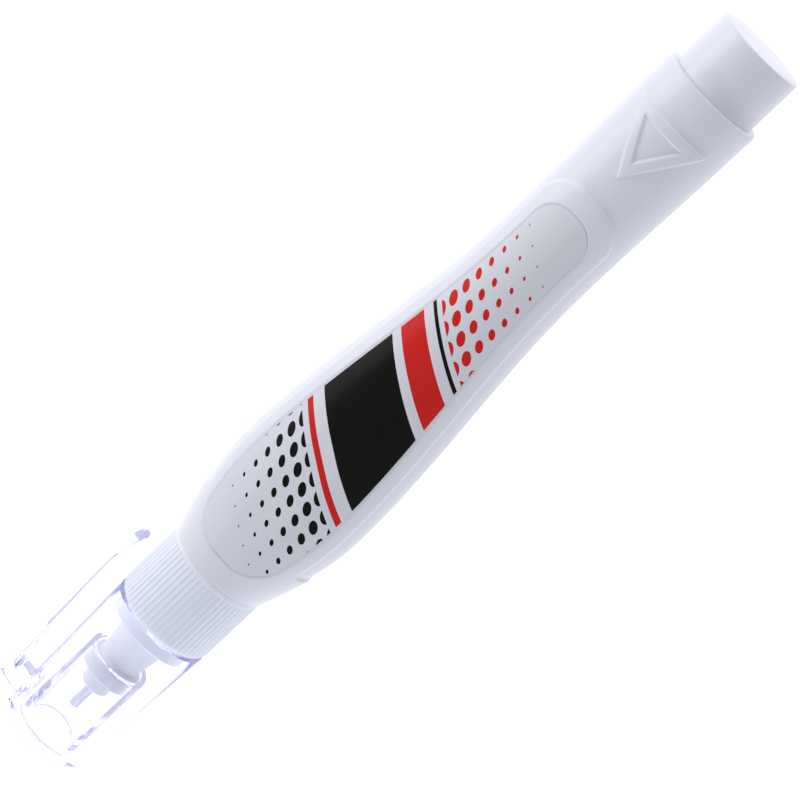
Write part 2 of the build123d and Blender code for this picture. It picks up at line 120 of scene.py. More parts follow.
def node(tree, kind, *fill, **settings):
    """Adds a shader node. Settings are its properties, and fill goes into its inputs in their order."""
    made = tree.nodes.new("ShaderNode" + kind)
    for key, value in settings.items():
        setattr(made, key, value)
    for socket, value in zip(made.inputs, fill):
        if isinstance(value, bpy.types.NodeSocket):
            tree.links.new(value, socket)
        elif value is not None:
            socket.default_value = value
    return made


def maths(tree, operation, *values):
    """Output of one Math node."""
    return node(tree, "Math", *values, operation=operation).outputs[0]


def noise(tree, place, scale, detail):
    """Output of one Noise Texture node: its waves per unit of place, and how many finer octaves they hold."""
    return node(tree, "TexNoise", place, None, scale, detail).outputs[0]


def blended(tree, share, first, second):
    """Output of a Mix node that goes from one colour to another. Its sockets for colours come after those
    for numbers and vectors."""
    mix = node(tree, "Mix", data_type="RGBA")
    for socket, value in zip((mix.inputs[0], mix.inputs[6], mix.inputs[7]), (share, first, second)):
        if isinstance(value, bpy.types.NodeSocket):
            tree.links.new(value, socket)
        else:
            socket.default_value = value
    return mix.outputs[2]


print("helpers for nodes are ready")

# %% Groups and materials


def effect(name, inputs, outputs):
    """An empty node group with named inputs (socket type, default) and outputs (socket type)."""
    group = bpy.data.node_groups.new(name, "ShaderNodeTree")
    for label, (kind, default) in inputs.items():
        group.interface.new_socket(label, in_out="INPUT", socket_type=kind).default_value = default
    for label, kind in outputs.items():
        group.interface.new_socket(label, in_out="OUTPUT", socket_type=kind)
    return group, group.nodes.new("NodeGroupInput").outputs, group.nodes.new("NodeGroupOutput").inputs


def finish_of(name, group, settings, **sockets):
    """A material whose Principled shader takes the group's outputs by name, and constants on its other
    sockets."""
    material = bpy.data.materials.new(name)
    material.use_nodes = True
    tree = material.node_tree
    shader = tree.nodes["Principled BSDF"]
    look = node(tree, "Group", node_tree=group)
    for label, value in settings.items():
        look.inputs[label].default_value = value
    for output in look.outputs:
        tree.links.new(output, shader.inputs[output.name])
    for label, value in sockets.items():
        shader.inputs[label.replace("_", " ")].default_value = value
    return material


print("helpers for groups and materials are ready")

# %% [markdown]
# ## Floor and light
# The pen lies on white paper on a light table, in a bright tent. A white tube looks brightest at its left
# edge, greyest just right of its middle, and light again at its right edge. A large lamp on the left does
# the first, and the table's glow from below does the last: it reaches only the parts that turn down towards
# it. Two smaller lamps light the tail's end and, a little cooler, the collar and the nozzle. The paper's
# own colour stays below white: for the camera, and in reflections, more glow is added so that it reads as
# white. The tent is white too, but through clear plastic it looks faintly lavender, or the edges of the cap
# would be lost against the paper.

# %% Paper
PAPER_COLOUR = (0.86, 0.86, 0.88, 1)
TABLE_GLOW, PAPER_GLOW = 0.44, 0.68
HALF_A_BOUNCE = 0.5


def seen_directly(tree):
    """1 where the camera looks, straight, in a reflection or through glass, and 0 for the light that falls
    on things, which is any ray that has left a matt surface."""
    path = node(tree, "LightPath").outputs
    bounced = maths(tree, "MAXIMUM", path["Is Glossy Ray"], path["Is Transmission Ray"])
    looked = maths(tree, "MAXIMUM", path["Is Camera Ray"], bounced)
    unscattered = maths(tree, "LESS_THAN", path["Diffuse Depth"], HALF_A_BOUNCE)
    return maths(tree, "MULTIPLY", looked, unscattered)


def paper_material():
    """Matt white paper with the table's glow, and the stronger one that only direct looks can see."""
    material = bpy.data.materials.new("white_paper")
    material.use_nodes = True
    tree = material.node_tree
    shader = tree.nodes["Principled BSDF"]
    shader.inputs["Base Color"].default_value = PAPER_COLOUR
    shader.inputs["Roughness"].default_value = 1.0
    shader.inputs["Specular IOR Level"].default_value = 0.0
    shader.inputs["Emission Color"].default_value = (1, 1, 1, 1)
    glow = node(tree, "MapRange", seen_directly(tree), 0, 1, TABLE_GLOW, PAPER_GLOW)
    tree.links.new(glow.outputs[0], shader.inputs["Emission Strength"])
    return material


white_paper = paper_material()
print("floor material:", white_paper.name)

# %% Floor
FLOOR_SIZE = 3.0
half = FLOOR_SIZE / 2
floor_corners = [(-half, -half, 0), (half, -half, 0), (half, half, 0), (-half, half, 0)]
floor_mesh = bpy.data.meshes.new("paper_floor")
floor_mesh.from_pydata(floor_corners, [], [(0, 1, 2, 3)])
floor_mesh.transform(Matrix.Translation((AIM_POINT.x, 0, cad_box[0].z)))
floor_mesh.materials.append(white_paper)
paper_floor = bpy.data.objects.new("paper_floor", floor_mesh)
scene.collection.objects.link(paper_floor)
print("floor at", round(cad_box[0].z / MM, 2), "mm, under the pen's lowest point")

# %% Lamps


def soft_lamp(name, place, size, watts, colour=(1, 1, 1)):
    """A lamp of a size (along the floor, upwards) at a place, all in mm, turned to face the middle of the
    pen."""
    lamp = bpy.data.objects.new(name, bpy.data.lights.new(name, "AREA"))
    lamp.data.shape = "RECTANGLE"
    lamp.data.size, lamp.data.size_y = size[0] * MM, size[1] * MM
    lamp.data.energy = watts
    lamp.data.color = colour
    lamp.location = Vector(place) * MM
    lamp.rotation_euler = (AIM_POINT - lamp.location).to_track_quat("-Z", "Y").to_euler()
    scene.collection.objects.link(lamp)
    return lamp


COOL_WHITE = (0.86, 0.91, 1.0)
soft_lamp("left_lamp", place=(20, -420, 190), size=(420, 300), watts=0.98)
soft_lamp("tail_lamp", place=(-420, -60, 150), size=(300, 260), watts=0.35)
soft_lamp("cap_lamp", place=(480, 140, 115), size=(300, 160), watts=0.82, colour=COOL_WHITE)

# %% Tent
TENT_FILL = 0.46
TENT_WHITE, TENT_IN_GLASS = (1, 1, 1, 1), (0.71, 0.70, 0.85, 1)
world = scene.world or bpy.data.worlds.new("tent")
scene.world = world
world.use_nodes = True
sky = world.node_tree.nodes["Background"]
tree = world.node_tree
looked = seen_directly(tree)
glass_passed = node(tree, "LightPath").outputs["Transmission Depth"]
through = maths(tree, "GREATER_THAN", glass_passed, HALF_A_BOUNCE)
tint = blended(tree, maths(tree, "MULTIPLY", looked, through), TENT_WHITE, TENT_IN_GLASS)
tree.links.new(tint, sky.inputs["Color"])
tree.links.new(node(tree, "MapRange", looked, 0, 1, TENT_FILL, 1).outputs[0], sky.inputs["Strength"])
print("the tent lights things with", TENT_FILL, "of the white that the camera sees")

# %% [markdown]
# ## From a grid to a mesh
# Nearly every piece of the pen is a surface with two parameters: one runs along the pen and the other runs
# round it. Blender could screw or lathe a curve, but a grid of points worked out with numpy can also carry
# ribs, panels and threads, as small shifts of those points. One helper turns any such grid into a closed
# mesh.

# %% Grid to mesh
MERGE_DISTANCE = 0.001
SHARP_ANGLE = np.radians(35)


def grid_mesh(name, grid, ring=False):
    """A closed mesh from points (row, column, xyz) in mm. Every four neighbours make a face, and the
    columns join round. In a ring the last row joins the first; otherwise each end row meets in a point or
    in an edge."""
    rows, columns = grid.shape[:2]
    number = np.arange(rows * columns).reshape(rows, columns)
    if ring:
        number = np.vstack([number, number[:1]])
    beside = np.roll(number, -1, axis=1)
    faces = np.stack([number[:-1], beside[:-1], beside[1:], number[1:]], axis=-1).reshape(-1, 4)
    mesh = bpy.data.meshes.new(name)
    mesh.vertices.add(rows * columns)
    mesh.vertices.foreach_set("co", (grid * MM).ravel())
    mesh.loops.add(faces.size)
    mesh.loops.foreach_set("vertex_index", faces.ravel())
    mesh.polygons.add(len(faces))
    mesh.polygons.foreach_set("loop_start", np.arange(0, faces.size, 4))
    mesh.update(calc_edges=True)
    form = bmesh.new()
    form.from_mesh(mesh)
    bmesh.ops.remove_doubles(form, verts=form.verts, dist=MERGE_DISTANCE * MM)
    if form.calc_volume(signed=True) < 0:
        bmesh.ops.reverse_faces(form, faces=form.faces)
    form.to_mesh(mesh)
    form.free()
    mesh.shade_smooth()
    mesh.set_sharp_from_angle(angle=SHARP_ANGLE)
    return mesh


print("grids merge points closer than", MERGE_DISTANCE, "mm")

# %% Pieces that stand for solids


def stand_in(node, body, name, mesh, material):
    """Puts a mesh into the scene as the piece that stands for a CAD node and moves with a body."""
    piece = bpy.data.objects.new(name, mesh)
    scene.collection.objects.link(piece)
    mesh.materials.append(material)
    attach(piece, body)
    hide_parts(node)
    off = np.array([Vector(piece.bound_box[i]) - corner for i, corner in zip((0, 6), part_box(node))])
    print(f"{name}: {len(mesh.polygons)} faces, within {abs(off).max() / MM:.2f} mm of the solid's box")
    return piece


print("solids that a piece can stand for:", len(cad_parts))

# %% [markdown]
# ## Turned forms
# A lathe turns a profile into a round piece, and a mould for a round piece is cut the same way. The profile
# is given by its corners. No moulded corner is a perfect edge, so each may have a radius, and the arc
# catches a thin line of light as a real edge does.

# %% Profiles and turning
NO_LENGTH, NEARLY_STRAIGHT = 1e-9, 0.9999
ARC_POINTS = 6


def unit(vectors):
    """Vectors of length one in the same directions."""
    return vectors / np.maximum(np.linalg.norm(vectors, axis=-1, keepdims=True), NO_LENGTH)


def rounded(*corners, steps=ARC_POINTS):
    """Profile points (x, r) from corners (x, r) or (x, r, radius). An arc touches both sides of its corner:
    its centre is on their bisector, radius / sin(half the corner's angle) away, and its points turn evenly
    about it. A corner without a radius is as many points in one place."""
    table = np.array([(*corner, 0.0)[:3] for corner in corners])
    point, radius = table[:, :2], table[:, 2:]
    back, ahead = unit(np.roll(point, 1, 0) - point), unit(np.roll(point, -1, 0) - point)
    cosine = (back * ahead).sum(1, keepdims=True)
    half_angle = np.arccos(np.clip(cosine, -NEARLY_STRAIGHT, NEARLY_STRAIGHT)) / 2
    centre = point + unit(back + ahead) * radius / np.sin(half_angle)
    first = point + back * radius / np.tan(half_angle) - centre
    last = point + ahead * radius / np.tan(half_angle) - centre
    turn = (np.pi - 2 * half_angle)[:, None]
    share = np.linspace(0, 1, steps)[None, :, None]
    arc = np.sin((1 - share) * turn) * first[:, None] + np.sin(share * turn) * last[:, None]
    return (centre[:, None] + arc / np.sin(turn)).reshape(-1, 2)


def turned(profile, columns=128):
    """Grid of the surface that a profile sweeps round the X axis: (x, r cos a, r sin a) at each angle a."""
    angle = np.linspace(0, 2 * np.pi, columns, endpoint=False)
    x, r = profile[:, :1], profile[:, 1:]
    return np.stack([x + 0 * angle, r * np.cos(angle), r * np.sin(angle)], axis=-1)


square_corner = rounded((0, 0), (5, 0, 1), (5, 5))[ARC_POINTS:2 * ARC_POINTS]
print("a square corner of radius 1 starts and ends at", square_corner[[0, -1]].round(2).tolist())

# %% [markdown]
# ## Moulded plastic
# Injection-moulded plastic has a fine grain from the polished steel of its mould, a very slow drift of
# colour where the melt flowed, and a satin gloss that changes from place to place where hands have rubbed
# it. All white pieces share this effect as one node group. It gives a colour, a roughness and a normal; the
# shader stays in each material, where the export can read its constants.

# %% Moulded plastic
NUMBER, COLOUR, DIRECTION = "NodeSocketFloat", "NodeSocketColor", "NodeSocketVector"
LOOKS = {"Base Color": COLOUR, "Roughness": NUMBER, "Normal": DIRECTION}
FLOW_PER_METRE = (40, 160, 160)
RUBS_PER_METRE, GRAINS_PER_METRE = 260.0, 5200.0
GRAIN_DEPTH, FLOW_IN_GRAIN = 0.02 * MM, 2.0


def moulded_effect():
    """Colour: from the tint to the shade by slow noise. Roughness: a base with slow and fine noise. Normal:
    a fine grain with long flow lines along the pen."""
    group, given, result = effect(
        "moulded_plastic",
        {"Tint": (COLOUR, (0.8, 0.8, 0.8, 1)), "Shade": (COLOUR, (0.7, 0.7, 0.75, 1)),
         "Gloss base": (NUMBER, 0.35), "Rubbed": (NUMBER, 0.16), "Grain": (NUMBER, 0.1)}, LOOKS)
    place = node(group, "TexCoord").outputs["Object"]
    flow = node(group, "Mapping", place, (0, 0, 0), (0, 0, 0), FLOW_PER_METRE).outputs[0]
    drift = noise(group, flow, scale=1.0, detail=3.0)
    rubbed = noise(group, place, RUBS_PER_METRE, detail=4.0)
    grain = noise(group, place, GRAINS_PER_METRE, detail=2.0)
    group.links.new(blended(group, drift, given["Tint"], given["Shade"]), result["Base Color"])
    around_zero = maths(group, "SUBTRACT", maths(group, "ADD", rubbed, drift), 1.0)
    spread = maths(group, "MULTIPLY", around_zero, given["Rubbed"])
    group.links.new(maths(group, "ADD", given["Gloss base"], spread), result["Roughness"])
    height = maths(group, "ADD", grain, maths(group, "MULTIPLY", drift, FLOW_IN_GRAIN))
    bump = node(group, "Bump", given["Grain"], GRAIN_DEPTH)
    group.links.new(height, bump.inputs["Height"])
    group.links.new(bump.outputs[0], result["Normal"])
    return group


moulded_plastic = moulded_effect()
print("effect:", moulded_plastic.name)

# %% Plastics and rubber
bottle_white = finish_of(
    "bottle_white", moulded_plastic,
    {"Tint": (0.785, 0.795, 0.895, 1), "Shade": (0.755, 0.765, 0.868, 1), "Gloss base": 0.36, "Grain": 0.1},
    Subsurface_Weight=0.06, Subsurface_Scale=0.002, IOR=1.5)
plug_white = finish_of(
    "plug_white", moulded_plastic,
    {"Tint": (0.79, 0.80, 0.90, 1), "Shade": (0.76, 0.77, 0.875, 1), "Gloss base": 0.34, "Grain": 0.08},
    Subsurface_Weight=0.06, Subsurface_Scale=0.002, IOR=1.5)
collar_lilac = finish_of(
    "collar_lilac", moulded_plastic,
    {"Tint": (0.84, 0.875, 1.0, 1), "Shade": (0.81, 0.85, 0.985, 1), "Gloss base": 0.38, "Grain": 0.08},
    Subsurface_Weight=0.1, Subsurface_Scale=0.001, IOR=1.5)
nozzle_white = finish_of(
    "nozzle_white", moulded_plastic,
    {"Tint": (0.785, 0.795, 0.875, 1), "Shade": (0.757, 0.77, 0.855, 1), "Gloss base": 0.32, "Grain": 0.06},
    Subsurface_Weight=0.06, Subsurface_Scale=0.0015, IOR=1.5)
valve_natural = finish_of(
    "valve_natural", moulded_plastic,
    {"Tint": (0.76, 0.76, 0.74, 1), "Shade": (0.70, 0.70, 0.67, 1), "Gloss base": 0.42, "Grain": 0.12},
    Subsurface_Weight=0.10, Subsurface_Scale=0.001, IOR=1.5)
gasket_rubber = finish_of(
    "gasket_rubber", moulded_plastic,
    {"Tint": (0.03, 0.03, 0.032, 1), "Shade": (0.05, 0.05, 0.052, 1), "Gloss base": 0.65, "Grain": 0.35},
    IOR=1.52)
print("plastics and rubber:", [material.name for material in (
    bottle_white, plug_white, collar_lilac, nozzle_white, valve_natural, gasket_rubber)])

# %% [markdown]
# ## Drawn and polished steel
# The tip, the needle and the spring are drawn: pulled through a die, which leaves scratches along their
# length. The mixing ball is tumbled until it shines. One group stretches its noise by a given amount along
# the pen, so the same effect gives scratches on the wire and tiny marks on the ball.

# %% Drawn steel
SCRATCHES_PER_METRE, SCRATCHES_ALONG = 9000.0, 300.0
SCRATCH_ROUGHNESS, SCRATCH_BUMP, SCRATCH_DEPTH = 0.18, 0.12, 0.01 * MM


def steel_effect():
    """Colour: a grey, darker in scratches of noise stretched along X. Roughness rises in the scratches, and
    the same noise is the height of a faint bump."""
    group, given, result = effect(
        "drawn_steel",
        {"Tint": (COLOUR, (0.7, 0.7, 0.72, 1)), "Scratch": (COLOUR, (0.5, 0.5, 0.52, 1)),
         "Gloss base": (NUMBER, 0.2), "Along": (NUMBER, SCRATCHES_ALONG)}, LOOKS)
    place = node(group, "TexCoord").outputs["Object"]
    stretch = node(group, "CombineXYZ", given["Along"], SCRATCHES_PER_METRE, SCRATCHES_PER_METRE).outputs[0]
    drawn = node(group, "VectorMath", place, stretch, operation="MULTIPLY").outputs[0]
    scratch = noise(group, drawn, scale=1.0, detail=3.0)
    group.links.new(blended(group, scratch, given["Tint"], given["Scratch"]), result["Base Color"])
    roughness = maths(group, "MULTIPLY_ADD", scratch, SCRATCH_ROUGHNESS, given["Gloss base"])
    group.links.new(roughness, result["Roughness"])
    bump = node(group, "Bump", SCRATCH_BUMP, SCRATCH_DEPTH)
    group.links.new(scratch, bump.inputs["Height"])
    group.links.new(bump.outputs[0], result["Normal"])
    return group


drawn_steel = steel_effect()
print("effect:", drawn_steel.name)

# %% Steels
tip_steel = finish_of(
    "tip_steel", drawn_steel,
    {"Tint": (0.74, 0.74, 0.79, 1), "Scratch": (0.65, 0.65, 0.70, 1), "Gloss base": 0.58}, Metallic=1.0)
spring_steel = finish_of(
    "spring_steel", drawn_steel,
    {"Tint": (0.62, 0.62, 0.64, 1), "Scratch": (0.42, 0.42, 0.44, 1), "Gloss base": 0.22}, Metallic=1.0)
ball_steel = finish_of(
    "ball_steel", drawn_steel,
    {"Tint": (0.78, 0.78, 0.80, 1), "Scratch": (0.70, 0.70, 0.72, 1), "Gloss base": 0.05,
     "Along": SCRATCHES_PER_METRE}, Metallic=1.0)
print("steels:", [m.name for m in (tip_steel, spring_steel, ball_steel)])

# %% [markdown]
# ## Tail plug
# The tail is a cup that is pressed into the back of the bottle: its closed end is the pen's tail, and a
# small shoulder rests on the bottle's rim. A lathe form is enough, with the soft edge that the photograph
# shows.

# %% Tail plug
PLUG_END, BOTTLE_REAR = 15.0, 8.0
SEAT_R, PLUG_R, PLUG_WALL = 6.25, 6.05, 1.1
CUP_R = PLUG_R - PLUG_WALL
plug_profile = rounded(
    (0, 0), (0, SEAT_R, 0.35), (BOTTLE_REAR, SEAT_R, 0.02), (BOTTLE_REAR, PLUG_R), (PLUG_END, PLUG_R, 0.5),
    (PLUG_END, CUP_R, 0.1), (PLUG_WALL, CUP_R, 0.4), (PLUG_WALL, 0))
stand_in("tail_plug", "bottle", "pressed_tail_plug",
         grid_mesh("tail_plug", turned(plug_profile)), plug_white)

# %% [markdown]
# ## Bottle
# The bottle is blow-moulded: a round tube at the back that swells into a flat oval bulb and closes in a
# round nose with a threaded neck. It could be sculpted, or made from a few lofted sections. Here every ring
# is an ellipse whose half width and half depth follow the same rules as the solid, a little flat in front
# and at the back so that a label lies smooth. All the relief is a shift of the ring outwards: the raised
# panel, the sunk bed of the label, the triangle and the thread.

# %% The bottle's oval
WAIST_X, BULB_X, BOTTLE_FRONT = 36.0, 81.0, 96.6
TUBE_R, TUBE_DRAFT = 7.22, 0.35
BULB_HALF = (10.25, 7.5)
FLAT_HALF, FLAT_BEND = 7.3, 0.2
LOW_NOSE_R = 7.15


def ease(share):
    """Goes from 0 to 1 with level ends: 3 s^2 - 2 s^3, held at its ends outside 0 to 1."""
    share = np.clip(share, 0, 1)
    return share * share * (3 - 2 * share)


def half_oval(x):
    """Half width and half depth: a slightly drafted tube, eased into the bulb, then a quarter cosine to the
    nose."""
    tube = TUBE_R - TUBE_DRAFT * ease((x - BOTTLE_REAR) / (WAIST_X - BOTTLE_REAR))
    swell = ease((x - WAIST_X) / (BULB_X - WAIST_X))
    close = np.cos(np.pi / 2 * np.clip((x - BULB_X) / (BOTTLE_FRONT - BULB_X), 0, 1))
    return [np.where(x < BULB_X, tube + (bulb - TUBE_R + TUBE_DRAFT) * swell,
                     LOW_NOSE_R + (bulb - LOW_NOSE_R) * close) for bulb in BULB_HALF]


def flattened(z, flat):
    """Heights that go no further than a flat on either side: the smaller of the two, less a parabola where
    they are within the bend's size of each other, so that the oval runs into the flat without a crease."""
    near = np.maximum(FLAT_BEND - abs(abs(z) - flat), 0)
    return np.sign(z) * (np.minimum(abs(z), flat) - near**2 / (4 * FLAT_BEND))


oval_places = np.array([BOTTLE_REAR, WAIST_X, BULB_X, BOTTLE_FRONT])
print("half widths at", oval_places.tolist(), "mm:", half_oval(oval_places)[0].round(2).tolist())

# %% [markdown]
# The relief is drawn in plan with distances: a number that is positive inside a shape, zero on its edge,
# and grows by a millimetre per millimetre. Two shapes are joined or crossed with the larger or smaller
# distance, and a rounded version of that gives the corners their radius.

# %% Shapes in plan
LABEL_REAR, LABEL_FRONT, LABEL_INSET, LABEL_CORNER = 29.2, 93.2, 2.85, 3.75


def crossed(first, second, corner):
    """Distance inside both shapes: the smaller one, with an arc where they meet at a corner."""
    short = np.hypot(np.maximum(corner - first, 0), np.maximum(corner - second, 0))
    return np.maximum(corner, np.minimum(first, second)) - short


def joined(first, second, corner):
    """Distance inside either shape: the crossing of the two outsides, turned inside out."""
    return -crossed(-first, -second, corner)


def label_distance(x, y, half_width):
    """Distance inside a label: its sides keep their inset from the bottle's, and its two ends are square."""
    ends = np.minimum(x - LABEL_REAR, LABEL_FRONT - x)
    return crossed(ends, half_width - LABEL_INSET - abs(y), LABEL_CORNER)


print("label from", LABEL_REAR, "to", LABEL_FRONT, "mm")

# %% Relief
PANEL_RISE, PANEL_REAR, PANEL_CORNER, SIDE_STRIP = 0.3, 26.4, 4.4, 1.25
STRIP_FRONT, STRIP_CORNER, RELIEF_STEP = 89.0, 0.9, 0.5
LABEL_BED, BED_MARGIN, BED_STEP = 0.16, 0.05, 0.3
MARK_REAR, MARK_WIDTH, MARK_LENGTH, MARK_BAND, MARK_CORNER, MARK_STEP = 13.3, 10.9, 8.9, 1.3, 0.4, 0.35


def relief(x, y, half_width, top):
    """Shift of the bottle's skin: up on the panels and all round the nose, down in the label's bed, and up
    on the triangle's three bars on the top side. Each step is eased over its own width."""
    panel = crossed(x - PANEL_REAR, half_width - SIDE_STRIP - abs(y), PANEL_CORNER)
    panel = joined(panel, x - STRIP_FRONT, STRIP_CORNER)
    half_point = np.arctan2(MARK_WIDTH / 2, MARK_LENGTH)
    slant = (MARK_REAR + MARK_LENGTH - x) * np.sin(half_point) - abs(y) * np.cos(half_point)
    triangle = crossed(x - MARK_REAR, slant, MARK_CORNER)
    bars = np.minimum(triangle, MARK_BAND - triangle)
    bed = label_distance(x, y, half_width)
    return (PANEL_RISE * ease(panel / RELIEF_STEP + 0.5) + PANEL_RISE * top * ease(bars / MARK_STEP + 0.5)
            - LABEL_BED * ease((bed + BED_MARGIN) / BED_STEP + 0.5))


panel_and_bed = relief(x=np.array([50.0, 50.0]), y=np.array([5.8, 0.0]), half_width=7.7, top=1.0)
print("rise on the panel and in the bed:", panel_and_bed.round(2).tolist())

# %% [markdown]
# The neck's thread is a ridge that climbs 3 mm a turn. At a place on the neck, the nearest stretch of ridge
# is found from the angle: the ridge's own angle there is known, and the difference, wrapped to half a turn
# each way, is a distance along the pen. The same function gives the collar's inner ridge, half a pitch
# further on.

# %% Thread
THREAD_PITCH, THREAD_TURNS, THREAD_DEPTH, THREAD_START = 3.0, 1.4, 0.7, 98.3
RIDGE_HALF, RIDGE_FLANK, RIDGE_FADE, START_TURN = 0.53, 0.2, 0.04, 0.25


def thread_ridge(x, angle, start_x):
    """Height of a helical ridge: full within its crest, eased down to its root, and faded out at its two
    ends."""
    turn = (x - start_x) / THREAD_PITCH
    off = (angle / (2 * np.pi) - START_TURN - turn + 0.5) % 1 - 0.5
    ends = np.minimum(turn + off, THREAD_TURNS - turn - off)
    crest = ease((RIDGE_HALF - abs(off) * THREAD_PITCH) / RIDGE_FLANK)
    return THREAD_DEPTH * crest * ease(ends / RIDGE_FADE)


thread_end = THREAD_START + THREAD_PITCH * THREAD_TURNS
print("thread on the neck from", THREAD_START, "to", round(thread_end, 2), "mm")

# %% [markdown]
# The bottle is one closed grid of rings: along the outside from the tail rim to the neck, back through the
# neck's bore, and along the inner wall to the tail again, where the last ring meets the first. Rings are
# close together only where the relief changes along the pen.

# %% The bottle's rings
NECK_R, NECK_BORE_R, NECK_END, CAVITY_FRONT, BOTTLE_WALL = 5.1, 3.9, 104.2, 95.2, 1.15
PLUG_BORE_R, RIM_EDGE, NOSE_EDGE = 6.07, 0.3, 0.06
# Where rings stand, as (first, end, step) in mm: the rim, the triangle, the tube, the label's rear end, the
# long plain middle and the label's front end.
RING_SPANS = [
    (8.8, 12.9, 0.5), (12.95, 22.7, 0.19), (22.8, 25.9, 0.5),
    (26.0, 32.5, 0.18), (32.6, 86.4, 1.5), (86.6, 94.0, 0.2)]
NOSE_START, NOSE_RINGS = 94.0, 8
THREAD_SPAN, THREAD_FOOT, FOOT_RINGS, THREAD_TOP = (98.1, 103.2, 0.17), 98.0, 5, 103.6
INNER_RINGS, BOTTLE_COLUMNS = 34, 384

quarter = np.linspace(0, np.pi / 2, ARC_POINTS)
outer_x = np.concatenate([
    BOTTLE_REAR + RIM_EDGE * (1 - np.cos(quarter)), *(np.arange(*span) for span in RING_SPANS),
    np.linspace(NOSE_START, BOTTLE_FRONT - NOSE_EDGE, NOSE_RINGS),
    BOTTLE_FRONT - NOSE_EDGE * (1 - np.sin(quarter[1:]))])
into_edge = np.maximum((BOTTLE_REAR + RIM_EDGE - outer_x) / RIM_EDGE,
                       (outer_x - BOTTLE_FRONT + NOSE_EDGE) / NOSE_EDGE)
edge_in = np.where(outer_x < BULB_X, RIM_EDGE, NOSE_EDGE) * (1 - np.sqrt(1 - into_edge.clip(0, 1)**2))
neck_x = np.concatenate([np.linspace(BOTTLE_FRONT, THREAD_FOOT, FOOT_RINGS), np.arange(*THREAD_SPAN),
                         [THREAD_TOP, NECK_END]])
inner_x = np.linspace(CAVITY_FRONT, PLUG_END, INNER_RINGS)
bore = np.array([[NECK_END, NECK_BORE_R], [CAVITY_FRONT, NECK_BORE_R]])
plug_seat = np.array([[PLUG_END, PLUG_BORE_R], [BOTTLE_REAR, PLUG_BORE_R]])
print("rings outside, on the neck and inside:", len(outer_x), len(neck_x), len(inner_x))

# %% Bottle
ring_x = np.concatenate([outer_x, neck_x, bore[:, 0], inner_x, plug_seat[:, 0]])[:, None]
outer, inner = half_oval(outer_x), half_oval(inner_x)
wide, deep = (np.concatenate([outer[i] - edge_in, 0 * neck_x + NECK_R, bore[:, 1], inner[i] - BOTTLE_WALL,
                              plug_seat[:, 1]])[:, None] for i in (0, 1))
is_outer = np.repeat([1.0, 0.0], [len(outer_x), len(ring_x) - len(outer_x)])[:, None]
is_neck = (wide == NECK_R).astype(float)

round_angle = np.linspace(0, 2 * np.pi, BOTTLE_COLUMNS, endpoint=False)
shift = is_outer * relief(ring_x, wide * np.cos(round_angle), wide, np.sin(round_angle) > 0)
shift = shift + is_neck * thread_ridge(ring_x, round_angle, THREAD_START)
flat = FLAT_HALF + shift - BOTTLE_WALL * (1 - is_outer)
bottle_grid = np.stack([ring_x + 0 * round_angle, (wide + shift) * np.cos(round_angle),
                        flattened((deep + shift) * np.sin(round_angle), flat)], axis=-1)
stand_in("bottle", "bottle", "blown_bottle",
         grid_mesh("bottle", bottle_grid, ring=True), bottle_white)

# %% [markdown]
# ## Label print
# The labels are printed film. Their print is a plain design in red, black and cool grey: slanted bands
# across the bulb, thin rules beside them, and rows of dots that fade towards both ends. An image could
# carry it, but a procedural print stays sharp at any distance. It is drawn on Object coordinates, so both
# labels carry it, and it goes into a node group because only its colour and gloss leave it.

# %% Bands and dots
DOT_PITCH, DOT_R = 2.2, 0.85


def bands(tree, s, *ranges):
    """1 inside any of the ranges of s."""
    covers = [maths(tree, "COMPARE", s, (low + high) / 2, (high - low) / 2) for low, high in ranges]
    total = covers[0]
    for cover in covers[1:]:
        total = maths(tree, "MAXIMUM", total, cover)
    return total


def dots(tree, s, y, start, end):
    """1 where the distance from the nearest crossing of a lattice in s and y is below a radius, which shrinks
    from its largest at the start to nothing at the end."""
    across = maths(tree, "SUBTRACT", maths(tree, "WRAP", y, DOT_PITCH, 0.0), DOT_PITCH / 2)
    ahead = maths(tree, "SUBTRACT", maths(tree, "WRAP", s, DOT_PITCH, 0.0), DOT_PITCH / 2)
    squares = [maths(tree, "POWER", part, 2.0) for part in (across, ahead)]
    away = maths(tree, "SQRT", maths(tree, "ADD", *squares))
    radius = node(tree, "MapRange", s, start, end, DOT_R, 0.0).outputs[0]
    way = 1.0 if end > start else -1.0
    beyond = maths(tree, "GREATER_THAN", maths(tree, "MULTIPLY", s, way), start * way)
    return maths(tree, "MULTIPLY", beyond, maths(tree, "LESS_THAN", away, radius))


print("dots every", DOT_PITCH, "mm, up to", 2 * DOT_R, "mm wide")

# %% Label print
SLANT = 0.6
RED_BANDS, RED_DOTS = ((54.5, 58.5), (74.0, 75.0)), (51.5, 34.0)
BLACK_BANDS, BLACK_DOTS = ((60.0, 72.0), (52.3, 52.9)), (76.0, 91.0)
HANDLED_PER_METRE, FILM_ROUGHNESS, HANDLED_ROUGHNESS = 240.0, 0.16, 0.25
RIPPLES_PER_METRE, RIPPLE_BUMP, RIPPLE_DEPTH = 420.0, 0.10, 0.06 * MM


